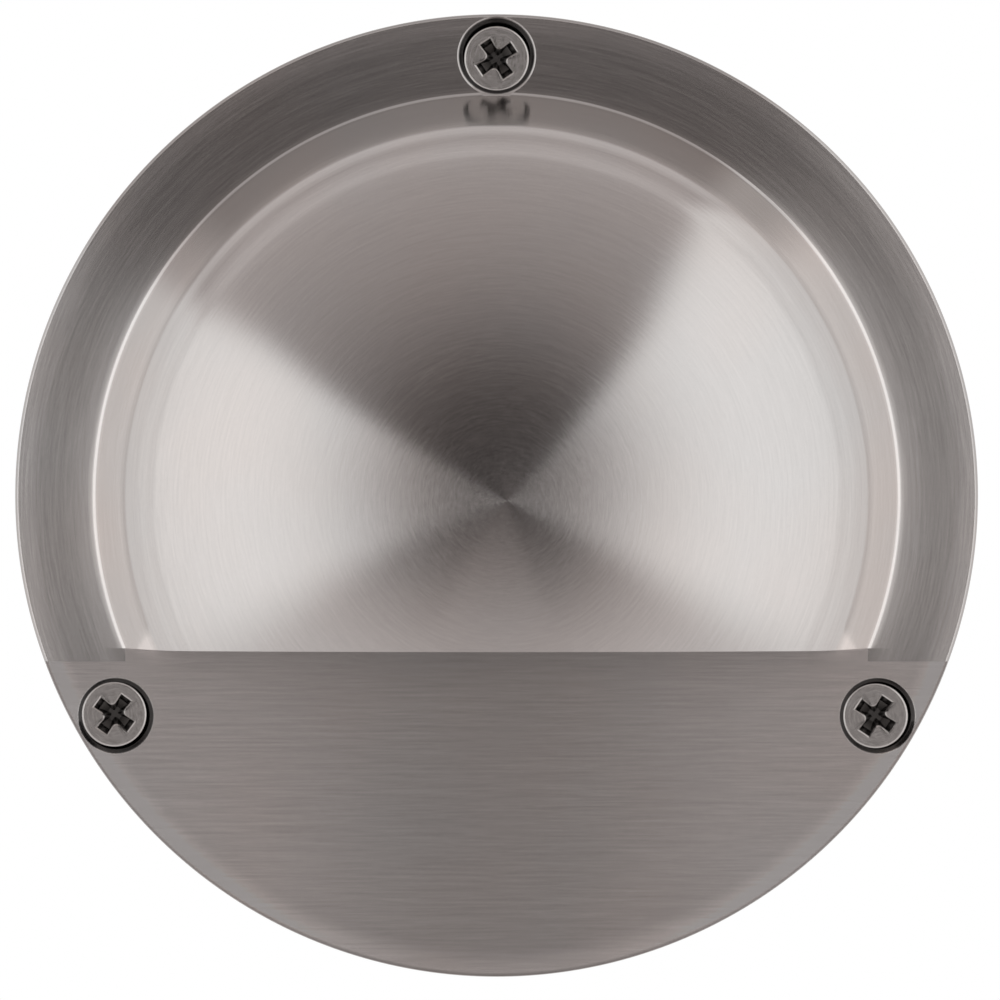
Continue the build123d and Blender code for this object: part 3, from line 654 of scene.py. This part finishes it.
# a short step at each end of the straight wall keeps its shading flat
after_shoulder, before_foot = 0.08, 0.05
(top_x, top_y), (low_x, low_y) = skin[-1], foot[0]
skin.append((top_x + after_shoulder, top_y + after_shoulder * math.tan(side)))
skin.append((low_x - before_foot, low_y - before_foot * math.tan(side)))
skin += foot
for i in range(1, 7):
    left = 1 - i / 6
    skin.append((rise_end - left * (rise_end - foot_x), front - rise * left ** 2))
skin += [(rim_out - rim_round - 0.06, front)]
skin += bend(rim_out - rim_round, front + rim_round, rim_round, 0, math.pi / 2, 5)
skin += [(rim_out, front + rim_round + 0.05), (rim_out, rim_back), (rim_in, rim_back), (rim_in, plate_back)]
skin += [(0, plate_back)]
face = turned_piece("face_of_steel", skin, 360)
# the hood's hollow, open through the plate above the lip's level and through the hood's mouth below it
beyond = 60
hollow_foot = hood_out - wall / math.sin(side)
hollow_outline = dome(wall) + [(hollow_foot, front), (hollow_foot, plate_back + 1), (0, plate_back + 1)]
hollow = turned_piece("hollow", hollow_outline, 360, 0.37)
cut(hollow, brick((-beyond, front, -beyond), (beyond, plate_back + 2, lip)))
cut(face, hollow)
# one tool cuts the lip and the flat below it, across the whole ring, and up to the lip under the hood
ring_gap = 0.02
flat_cut = brick((-beyond, -40, -beyond), (beyond, front - ring_gap, lip))
bpy.ops.object.mode_set(mode="EDIT")
for x, z, way in ((-flat_half, 0, (1, 0, 0)), (flat_half, 0, (1, 0, 0)), (0, flat_top, (0, 0, 1))):
    bpy.ops.mesh.select_all(action="SELECT")
    bpy.ops.mesh.bisect(plane_co=(x * mm, 0, z * mm), plane_no=way, threshold=0.0001 * mm)
select(flat_cut, "FACE", lambda middle, normal: normal.y > 0.99 and
       (middle.z < flat_top or abs(middle.x) < flat_half))
bpy.ops.mesh.extrude_region_move(TRANSFORM_OT_translate={"value": (0, (flat_y - front + ring_gap) * mm, 0)})
bpy.ops.object.mode_set(mode="OBJECT")
cut(face, flat_cut)
# posts for the wall screws and bosses for the ears' screws, then the holes in them
into, post_r, boss_r, tap_r = -6.4, 4.5, 3.0, 1.55
post_end, boss_end = -1.51, -4.5
post = turned_piece("post", [(0, into), (post_r, into), (post_r, post_end), (0, post_end)], 64, 0.7)
boss = turned_piece("boss", [(0, into), (boss_r, into), (boss_r, boss_end), (0, boss_end)], 48, 0.9)
sink_outline = [(0, -9.4), (4.93, -9.4), (4.53, -9.02), (4.47, -8.97), (4.41, -8.92), (4.25, -8.76),
                (2.25, -6.76), (2.25, -1), (0, -1)]
sink = turned_piece("sink", sink_outline, 96, 0.33)
tap = turned_piece("tap", [(0, -8), (tap_r, -8), (tap_r, -4), (0, -4)], 32, 0.25)
for at_wall_screw, at_ear, how in ((post, boss, "UNION"), (sink, tap, "DIFFERENCE")):
    tools = [set_down(at_wall_screw, "tool", x=wall_screw_ring, turn=90 + 120 * i) for i in range(3)]
    tools += [set_down(at_ear, "tool", x=ear_ring, turn=30 + 120 * i) for i in range(3)]
    cut(face, join(tools), how)
    bpy.data.objects.remove(at_wall_screw)
    bpy.data.objects.remove(at_ear)
sink_turns = [math.radians(-90 - 120 * i) for i in range(3)]
sink_middles = [Matrix.Rotation(turn, 3, "Y") @ Vector((wall_screw_ring, 0, 0)) for turn in sink_turns]
sink_r, shade_from, shade_to = 4.46, -8.79, -3.0
# the sinks' walls are marked for painted shade
mark_painted_shade(face, lambda at: shade_from < at.y < shade_to and
          any(math.hypot(at.x - middle.x, at.z - middle.z) < sink_r for middle in sink_middles))
smooth(face, 28)

# the brushing of the crown turns about a point a little off the middle
brush_centre, centred_from = (0.00119, 0.0, -0.00023), 0.036
face_steel, tree, surface, spot = finish("face_steel", Metallic=1.0, Anisotropic=0.9)
around_y = vector(tree, "MULTIPLY", spot, (1, 0, 1))
far_out = place(tree, "VectorMath", {"operation": "LENGTH"}, n0=around_y).outputs["Value"]
drift = spread(tree, far_out, 0.0, centred_from, 1.0, 0.0, "SMOOTHSTEP")
shift = place(tree, "VectorMath", {"operation": "SCALE"}, n0=brush_centre, Scale=drift).outputs[0]
centred = vector(tree, "SUBTRACT", spot, shift)
where = place(tree, "Group", {"node_tree": round_place}, Position=centred, Turns=5.0, Lines=3300.0)
round_streaks = place(tree, "Group", {"node_tree": tool_lines}, Pattern=where.outputs["Pattern"])
straight = vector(tree, "MULTIPLY", spot, (70.0, 900.0, 3000.0))
straight_streaks = place(tree, "Group", {"node_tree": tool_lines}, Pattern=straight)
axes = place(tree, "SeparateXYZ", n0=spot)
aside = number(tree, "ABSOLUTE", axes.outputs[0])
below_ring = number(tree, "LESS_THAN", axes.outputs[2], flat_top * mm)
below_lip = number(tree, "MULTIPLY", number(tree, "LESS_THAN", axes.outputs[2], lip * mm),
                   number(tree, "LESS_THAN", aside, flat_half * mm))
below = number(tree, "MAXIMUM", below_ring, below_lip)
on_flat = number(tree, "MULTIPLY", below, number(tree, "LESS_THAN", axes.outputs[1], (flat_y + 0.02) * mm))
broad = blend(tree, on_flat, round_streaks.outputs["Broad"], straight_streaks.outputs["Broad"], "FLOAT")
fine = blend(tree, on_flat, round_streaks.outputs["Fine"], straight_streaks.outputs["Fine"], "FLOAT")
speck = noise(tree, spot, 3200.0, 2.0, 0.6)
both = number(tree, "MULTIPLY_ADD", broad, 0.40, number(tree, "MULTIPLY", fine, 0.40))
both = number(tree, "MULTIPLY_ADD", speck, 0.20, both)
dark_steel, light_steel = (0.575, 0.552, 0.545, 1), (0.645, 0.620, 0.612, 1)
steel_tone = blend(tree, spread(tree, both, 0.34, 0.66, 0.0, 1.0), dark_steel, light_steel)
patch = noise(tree, spot, 42.0)
tint = blend(tree, spread(tree, patch, 0.35, 0.65, 0.0, 1.0), (1.015, 1.0, 0.985, 1), (0.985, 1.0, 1.0, 1))
tinted = vector(tree, "MULTIPLY", steel_tone, tint)
# painted light: lighter near the rim and at the flat's sides; darker on the rim's edge; painted shade in the
# sinks
rim_light, rim_edge, flat_light = (0.0515, 0.0545), (0.0545, 0.0548), (0.002, 0.036)
painted_light_and_shade = spread(tree, where.outputs["Out"], *rim_light, 1.0, 1.35, "SMOOTHSTEP")
painted_light_and_shade = number(tree, "MULTIPLY", painted_light_and_shade, spread(tree, where.outputs["Out"], *rim_edge, 1.0, 0.62))
flat_sheen = spread(tree, aside, *flat_light, 1.02, 1.42, "SMOOTHSTEP")
painted_light_and_shade = number(tree, "MULTIPLY", painted_light_and_shade, blend(tree, on_flat, 1.0, flat_sheen, "FLOAT"))
# painted highlight on the hood's wall at its two sides, and painted shade on its top and bottom
wall_top, wall_foot, sheen_band = (0.0422, 0.0430), (0.0460, 0.0463), (0.58, 0.74)
on_wall = number(tree, "MULTIPLY", spread(tree, where.outputs["Out"], *wall_top, 0.0, 1.0),
                 spread(tree, where.outputs["Out"], *wall_foot, 1.0, 0.0))
on_wall = number(tree, "MULTIPLY", on_wall, number(tree, "SUBTRACT", 1.0, on_flat))
height_share = number(tree, "ABSOLUTE", number(tree, "DIVIDE", axes.outputs[2], where.outputs["Out"]))
wall_sheen = spread(tree, height_share, *sheen_band, 1.42, 0.84, "SMOOTHSTEP")
painted_light_and_shade = number(tree, "MULTIPLY", painted_light_and_shade, blend(tree, on_wall, 1.0, wall_sheen, "FLOAT"))
painted_shade = place(tree, "Attribute", {"attribute_name": "painted_shade"}).outputs["Fac"]
painted_light_and_shade = number(tree, "MULTIPLY", painted_light_and_shade, spread(tree, painted_shade, 0.0, 1.0, 1.0, 0.12))
tinted = place(tree, "VectorMath", {"operation": "SCALE"}, n0=tinted, Scale=painted_light_and_shade).outputs[0]
# the hood is brushed the finest, the ring a little coarser and the flat the coarsest
ring_start = (0.0457, 0.0467)
coarse = spread(tree, where.outputs["Out"], *ring_start, 0.0, 0.030)
satin = number(tree, "ADD", spread(tree, both, 0.3, 0.7, 0.122, 0.150), coarse)
satin = blend(tree, on_flat, satin, spread(tree, both, 0.3, 0.7, 0.20, 0.23), "FLOAT")
wire(tree, surface, tinted, satin, both, 0.0000015)
# light spreads across the grooves, which run round on hood and ring, and straight on the flat
outward = vector(tree, "NORMALIZE", vector(tree, "MULTIPLY", centred, (1, 0, 1)))
grooves = blend(tree, on_flat, vector(tree, "CROSS_PRODUCT", outward, (0, 1, 0)), (1, 0, 0), "VECTOR")
normal = place(tree, "NewGeometry").outputs["Normal"]
tree.links.new(vector(tree, "CROSS_PRODUCT", grooves, normal), surface.inputs["Tangent"])
belongs(face, face_steel, "eyelid_face")

# ---- Housing screws ----
# Three short countersunk screws hold the housing's ears to the bosses behind the face. They are driven in from
# behind, and are cold-headed in the same bright steel as the others.
ear_back = -1.85
ear_screw = cross_screw(sunk_outline(1.5, 2.65, 2.0), 0.0, 1.5, 0.8, 1.4, thread_3(1.7, 6.0))
for i, (turn, spin) in enumerate(((30, 10), (150, 44), (270, 70))):
    screw = set_down(ear_screw, f"housing_screw_{i + 1}", x=ear_ring, y=ear_back, turn=turn, back=True,
                     spin=spin)
    belongs(screw, screw_steel, "housing_screws")
bpy.data.objects.remove(ear_screw)

# ---- Wall gasket ----
# A ring of closed-cell foam, cut from sheet, that the wall screws press between the face and the wall. Its
# cut cells show as fine pits.
foam = grained("foam", (0.050, 0.050, 0.052), (0.020, 0.020, 0.021), 1900.0, 240.0, 0.78, 0.95, 0.00014)
dress("wall_gasket", foam)

# ---- Wall screws ----
# Three countersunk 4 mm screws in bright steel fix the light to the wall. Each sits a little off the middle
# of its sink, as it was driven, and its cross recess has a small bright bevel all round.
head_top = -8.475
wall_head = [(0, head_top), (3.42, head_top), (3.50, head_top), (3.60, -8.463), (3.68, -8.43),
             (3.725, -8.375), (3.725, -8.325), (1.55, -6.15), (1.45, -5.95), (1.45, 0.5), (0, 0.5)]
wood_thread = (1.40, 1.98, 1.4, 0.0, 24.0, 28.0, 0.12)
wall_screw = cross_screw(wall_head, head_top, 2.4, 1.3, 2.4, wood_thread)
# where each sits on the ring, how its cross is turned, and how far it is off the middle, aside and up
driven = ((90, 34, 0.0, -0.32), (210, 54, -0.2, 0.15), (330, 56, -0.2, -0.03))
for i, (turn, cross, aside, up) in enumerate(driven):
    screw = set_down(wall_screw, f"wall_screw_{i + 1}", x=wall_screw_ring, turn=turn, spin=cross - turn)
    screw.data.transform(Matrix.Translation((aside * mm, 0, up * mm)))
    belongs(screw, screw_steel, "face_screws")
bpy.data.objects.remove(wall_screw)

# ---- Studio ----
# A pale floor under the light, a white surround, two tall soft panels at the sides, a dim ceiling, and the
# bright floor in front, as a brushed disc needs them for its fans of light and shade.
floor_size, floor_height = 12.0, -0.075
bpy.ops.object.select_all(action="DESELECT")
bpy.ops.mesh.primitive_plane_add(size=floor_size)
floor = bpy.context.object
floor.name = "floor"
floor.data.transform(Matrix.Translation((0, 0, floor_height)))
floor_paint, tree, surface, spot = finish("floor_paint")
node = place(tree, "Group", {"node_tree": grain}, Position=spot, Grains=60.0, Patches=4.0,
             Light=(0.93, 0.93, 0.93, 1), Dark=(0.91, 0.91, 0.91, 1), Smooth=0.7, Rough=0.8)
wire(tree, surface, node.outputs["Color"], node.outputs["Roughness"], node.outputs["Height"], 0.0001)
floor.data.materials.append(floor_paint)
floor.visible_glossy = False
path = place(tree, "LightPath").outputs["Is Camera Ray"]
glow = place(tree, "Emission", Color=(1, 1, 1, 1), Strength=1.0)
reach = place(tree, "VectorMath", {"operation": "LENGTH"}, n0=spot).outputs["Value"]
white = number(tree, "MULTIPLY", path, spread(tree, reach, 0.10, 0.26, 0.0, 1.0, "SMOOTHSTEP"))
mixed = place(tree, "MixShader", n0=white, n1=surface.outputs[0], n2=glow.outputs[0])
tree.links.new(mixed.outputs[0], tree.nodes["Material Output"].inputs["Surface"])

studio = bpy.data.worlds.new("studio")
bpy.context.scene.world = studio
studio.use_nodes = True
tree = studio.node_tree
background = tree.nodes["Background"]
toward = place(tree, "TexCoord").outputs["Generated"]
axes = place(tree, "SeparateXYZ", n0=toward)
degrees = 180.0 / math.pi
toward_camera = number(tree, "MULTIPLY", axes.outputs[1], -1.0)
off_axis = number(tree, "MULTIPLY", number(tree, "ARCCOSINE", toward_camera), degrees)
sideways = number(tree, "ABSOLUTE", axes.outputs[0])
climb = number(tree, "MULTIPLY", number(tree, "ARCTAN2", axes.outputs[2], sideways), degrees)


def panel(stops):
    """Light level by the angle from the camera's axis, as a soft curve through stops of (degrees, level)."""
    curve = place(tree, "FloatCurve", n1=number(tree, "DIVIDE", off_axis, 180.0))
    line = curve.mapping.curves[0]
    for i, (angle, level) in enumerate(stops):
        if i < 2:
            line.points[i].location = (angle / 180.0, level / 2)
        else:
            line.points.new(angle / 180.0, level / 2)
    curve.mapping.update()
    return number(tree, "MULTIPLY", curve.outputs[0], 2.0)


sides = panel([(0, 0.02), (180, 0.90), (4, 0.13), (8, 0.54), (10, 0.88), (12, 1.08), (14, 1.18), (18, 1.26),
               (22, 1.18), (26, 1.05), (35, 0.95), (60, 0.97), (80, 0.90), (110, 0.90)])
ceiling = panel([(0, 0.01), (180, 0.85), (6, 0.04), (10, 0.21), (13.5, 0.32), (17, 0.42), (22, 0.46),
                 (26, 0.62), (50, 0.62), (65, 0.56), (80, 0.52), (95, 0.66), (110, 0.70)])
ground = panel([(0, 0.02), (180, 0.82), (4, 0.20), (7, 0.28), (9, 0.45), (12, 0.54), (20, 0.66), (40, 0.84),
                (60, 0.83), (90, 0.74), (130, 0.80)])
corners = panel([(0, 0.01), (180, 0.82), (4, 0.04), (8, 0.20), (12, 0.50), (18, 0.75), (26, 0.80), (40, 0.75),
                 (72, 0.75), (110, 0.75)])
# how high the dim ceiling begins, in hundreds of degrees: lower on the left, and lower close to the axis
right_edge = panel([(0, 0.05), (180, 0.46), (4, 0.16), (7, 0.32), (10, 0.385), (13.5, 0.43), (17, 0.47),
                    (22, 0.52), (60, 0.54), (90, 0.52), (120, 0.46)])
left_edge = panel([(0, 0.0), (180, 0.33), (4, 0.10), (7, 0.20), (10, 0.25), (13.5, 0.27), (17, 0.30),
                   (20, 0.32), (24, 0.305), (60, 0.32)])
edge = blend(tree, number(tree, "GREATER_THAN", axes.outputs[0], 0.0), left_edge, right_edge, "FLOAT")
edge = number(tree, "MULTIPLY", edge, 100.0)
above = spread(tree, number(tree, "SUBTRACT", climb, edge), -4.0, 3.0, 0.0, 1.0, "SMOOTHSTEP")
under = spread(tree, climb, -40.0, -23.0, 1.0, 0.0, "SMOOTHSTEP")
straight_down = spread(tree, climb, -74.0, -66.0, 1.0, 0.0, "SMOOTHSTEP")
level = blend(tree, above, sides, ceiling, "FLOAT")
level = blend(tree, under, level, corners, "FLOAT")
level = blend(tree, straight_down, level, ground, "FLOAT")
# what is dim in the room is a little warm
warmth = blend(tree, spread(tree, level, 0.05, 1.0, 0.0, 1.0), (1.0, 0.87, 0.84, 1), (1.0, 0.99, 0.985, 1))
seen = place(tree, "LightPath").outputs["Is Camera Ray"]
tree.links.new(blend(tree, seen, level, 1.0, "FLOAT"), background.inputs["Strength"])
tree.links.new(blend(tree, seen, warmth, (1, 1, 1, 1)), background.inputs["Color"])
studio.cycles.sampling_method = "MANUAL"
studio.cycles.sample_map_resolution = 1024

# ---- Camera ----
# Square to the face and a little above it, far away, as for a catalogue picture, with the face just inside
# the frame.
distance, raised = 1.5, math.radians(1.4)
sensor_mm, frames_a_metre = 36, 8.755
lens_view = bpy.data.cameras.new("camera")
camera = bpy.data.objects.new("camera", lens_view)
bpy.context.scene.collection.objects.link(camera)
front_plane = Vector((0, -0.009, 0))
camera.location = front_plane + Vector((0, -distance * math.cos(raised), distance * math.sin(raised)))
target = front_plane + Vector((0.000388, 0, -0.000457))
camera.rotation_euler = (target - camera.location).to_track_quat("-Z", "Y").to_euler()
lens_view.sensor_width = sensor_mm
lens_view.lens = frames_a_metre * distance * sensor_mm
lens_view.clip_start = 0.01
bpy.context.scene.camera = camera
bpy.context.scene.view_settings.view_transform = "Standard"
